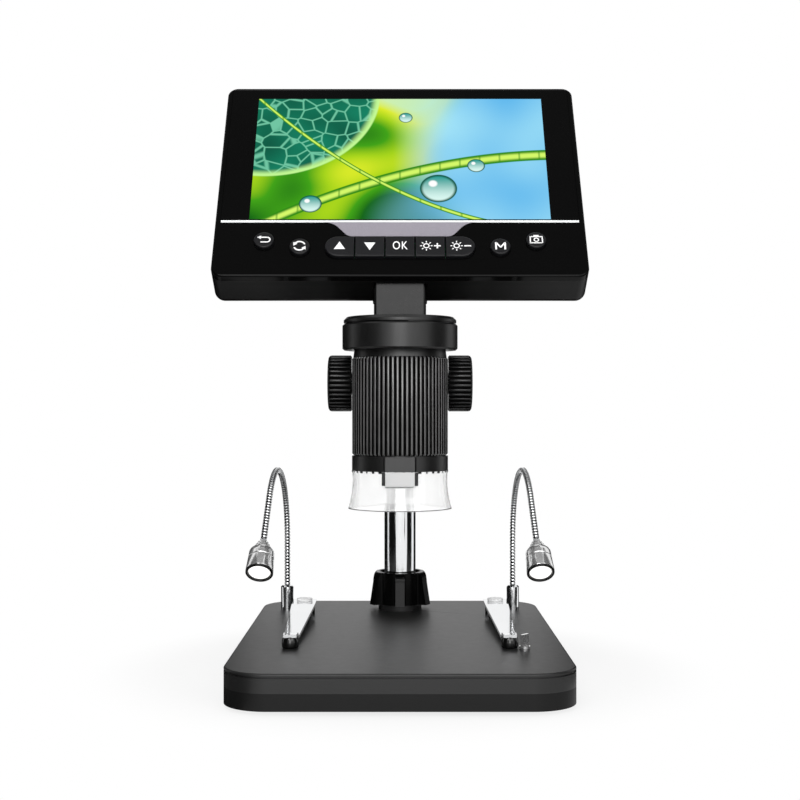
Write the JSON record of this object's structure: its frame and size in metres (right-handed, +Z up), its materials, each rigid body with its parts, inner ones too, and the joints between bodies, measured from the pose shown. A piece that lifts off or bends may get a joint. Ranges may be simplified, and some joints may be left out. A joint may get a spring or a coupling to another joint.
{
  "type": "lcd digital microscope",
  "caption": "Desktop digital microscope: tilting LCD screen over a focusing barrel on a column, weighted base with stage clips and two gooseneck lamps.",
  "frame": {"origin": "on the table under the middle of the base, on the feet's undersides", "axes": "+Z up; +Y from the user towards the column; +X to the user's right; the optical axis is Z"},
  "size_m": [0.1164, 0.1324, 0.1892],
  "materials": {
    "base_grey": "fine matt texture",
    "base_dark": "matt",
    "ballast_iron": "raw",
    "screw_steel": "plain",
    "black_rubber": "matt",
    "bright_chrome": "polished",
    "gooseneck_chrome": "wound steel, plated",
    "black_plastic": "satin",
    "barrel_black": "black anodised",
    "arm_black": "black painted",
    "carrier_aluminium": "black anodised",
    "clear_plastic": "clear acrylic",
    "lens_glass": "coated glass",
    "lamp_lens": "milky lens",
    "board_green": "solder mask",
    "gear_brass": "machined",
    "gloss_black": "piano black",
    "housing_black": "satin black",
    "panel_dark": "display panel",
    "silver_trim": "bright strip",
    "plate_grey": "metallic grey",
    "key_grey": "satin",
    "battery_foil": "foil pouch",
    "white_nylon": "nylon"
  },
  "bodies": {
    "stand": {"base_shell": "base_grey", "base_cover": "base_dark", "ballast_plate": "ballast_iron", "base_screws": "screw_steel", "rubber_feet": "black_rubber", "column": "bright_chrome", "column_bolt": "screw_steel", "column_cap": "black_plastic", "clip_posts": "white_nylon", "lamp_socket_left": "bright_chrome", "lamp_socket_right": "bright_chrome"},
    "collar": {"collar_nut": "black_plastic"},
    "scope": {"barrel": "barrel_black", "cap_ring": "barrel_black", "cap_disc": "barrel_black", "lower_ring": "barrel_black", "light_shroud": "clear_plastic", "led_board": "board_green", "sensor_board": "board_green", "arm": "arm_black", "hinge_tab": "black_plastic"},
    "lock": {"lock_screw": "black_plastic"},
    "focus_drive": {"focus_shaft": "screw_steel", "focus_knob_left": "barrel_black", "focus_knob_right": "barrel_black", "focus_pinion": "gear_brass"},
    "lens": {"lens_carrier": "carrier_aluminium", "objective_lens": "lens_glass", "focus_rack": "gear_brass"},
    "screen": {"front_frame": "gloss_black", "rear_housing": "housing_black", "housing_screws": "screw_steel", "screen_window": "gloss_black", "lcd_panel": "panel_dark", "trim_line": "silver_trim", "key_plate": "plate_grey", "key_board": "board_green", "main_board": "board_green", "battery": "battery_foil", "hinge_pin": "screw_steel"},
    "clip_l": {"clip_left": "bright_chrome", "clip_tip_left": "black_rubber"},
    "clip_r": {"clip_right": "bright_chrome", "clip_tip_right": "black_rubber"},
    "lamp_l": {"gooseneck_left": "gooseneck_chrome", "lamp_head_left": "bright_chrome", "lamp_lens_left": "lamp_lens"},
    "lamp_r": {"gooseneck_right": "gooseneck_chrome", "lamp_head_right": "bright_chrome", "lamp_lens_right": "lamp_lens"},
    "lever": {"switch_lever": "bright_chrome"},
    "key_up_cap": {"key_up": "key_grey"},
    "key_down_cap": {"key_down": "key_grey"},
    "key_ok_cap": {"key_ok": "key_grey"},
    "key_brighter_cap": {"key_brighter": "key_grey"},
    "key_dimmer_cap": {"key_dimmer": "key_grey"},
    "key_rotate_cap": {"key_rotate": "key_grey"},
    "key_menu_cap": {"key_menu": "key_grey"},
    "key_back_cap": {"key_back": "key_grey"},
    "key_camera_cap": {"key_camera": "key_grey"}
  },
  "joints": [
    {"name": "arm_height", "type": "slide", "parent": "stand", "child": "scope", "axis": [0, 0, 1], "range_m": [-0.035, 0.008]},
    {"name": "collar_turn", "type": "hinge", "parent": "stand", "child": "collar", "pos_m": [0, 0.04825, 0.018], "axis": [0, 0, 1], "range_deg": [0, 180]},
    {"name": "lock_turn", "type": "hinge", "parent": "scope", "child": "lock", "pos_m": [0, 0.06, 0.085], "axis": [0, 1, 0], "range_deg": [0, 360]},
    {"name": "focus_turn", "type": "hinge", "parent": "scope", "child": "focus_drive", "pos_m": [0, 0.0085, 0.0887], "axis": [1, 0, 0], "range_deg": [-115, 115]},
    {"name": "lens_slide", "type": "slide", "parent": "scope", "child": "lens", "axis": [0, 0, 1], "range_m": [-0.005, 0.005]},
    {"name": "screen_tilt", "type": "hinge", "parent": "scope", "child": "screen", "pos_m": [0, 0.0017, 0.1202], "axis": [-1, 0, 0], "range_deg": [-30, 50]},
    {"name": "clip_left_swing", "type": "hinge", "parent": "stand", "child": "clip_l", "pos_m": [-0.032, 0.031, 0.015], "axis": [0, 0, 1], "range_deg": [0, 25]},
    {"name": "clip_right_swing", "type": "hinge", "parent": "stand", "child": "clip_r", "pos_m": [0.032, 0.031, 0.015], "axis": [0, 0, -1], "range_deg": [0, 25]},
    {"name": "lamp_left_swivel", "type": "hinge", "parent": "stand", "child": "lamp_l", "pos_m": [-0.039, 0.045, 0.017], "axis": [0, 0, 1], "range_deg": [-60, 25]},
    {"name": "lamp_right_swivel", "type": "hinge", "parent": "stand", "child": "lamp_r", "pos_m": [0.039, 0.045, 0.017], "axis": [0, 0, -1], "range_deg": [-60, 25]},
    {"name": "lever_turn", "type": "hinge", "parent": "stand", "child": "lever", "pos_m": [0.0362, -0.03, 0.012], "axis": [0, 0, 1], "range_deg": [0, 90]},
    {"name": "key_up_press", "type": "slide", "parent": "screen", "child": "key_up_cap", "axis": [0, 0.8315, -0.5556], "range_m": [0, 0.0004], "stiffness_N_per_m": 800, "springref_m": -0.0002},
    {"name": "key_down_press", "type": "slide", "parent": "screen", "child": "key_down_cap", "axis": [0, 0.8315, -0.5556], "range_m": [0, 0.0004], "stiffness_N_per_m": 800, "springref_m": -0.0002},
    {"name": "key_ok_press", "type": "slide", "parent": "screen", "child": "key_ok_cap", "axis": [0, 0.8315, -0.5556], "range_m": [0, 0.0004], "stiffness_N_per_m": 800, "springref_m": -0.0002},
    {"name": "key_brighter_press", "type": "slide", "parent": "screen", "child": "key_brighter_cap", "axis": [0, 0.8315, -0.5556], "range_m": [0, 0.0004], "stiffness_N_per_m": 800, "springref_m": -0.0002},
    {"name": "key_dimmer_press", "type": "slide", "parent": "screen", "child": "key_dimmer_cap", "axis": [0, 0.8315, -0.5556], "range_m": [0, 0.0004], "stiffness_N_per_m": 800, "springref_m": -0.0002},
    {"name": "key_rotate_press", "type": "slide", "parent": "screen", "child": "key_rotate_cap", "axis": [0, 0.8315, -0.5556], "range_m": [0, 0.0004], "stiffness_N_per_m": 800, "springref_m": -0.0002},
    {"name": "key_menu_press", "type": "slide", "parent": "screen", "child": "key_menu_cap", "axis": [0, 0.8315, -0.5556], "range_m": [0, 0.0004], "stiffness_N_per_m": 800, "springref_m": -0.0002},
    {"name": "key_back_press", "type": "slide", "parent": "screen", "child": "key_back_cap", "axis": [0, 0.8315, -0.5556], "range_m": [0, 0.0004], "stiffness_N_per_m": 800, "springref_m": -0.0002},
    {"name": "key_camera_press", "type": "slide", "parent": "screen", "child": "key_camera_cap", "axis": [0, 0.8315, -0.5556], "range_m": [0, 0.0004], "stiffness_N_per_m": 800, "springref_m": -0.0002}
  ],
  "couplings": [
    {"joint": "focus_turn", "follows": "lens_slide", "rad_per_m": -400}
  ]
}
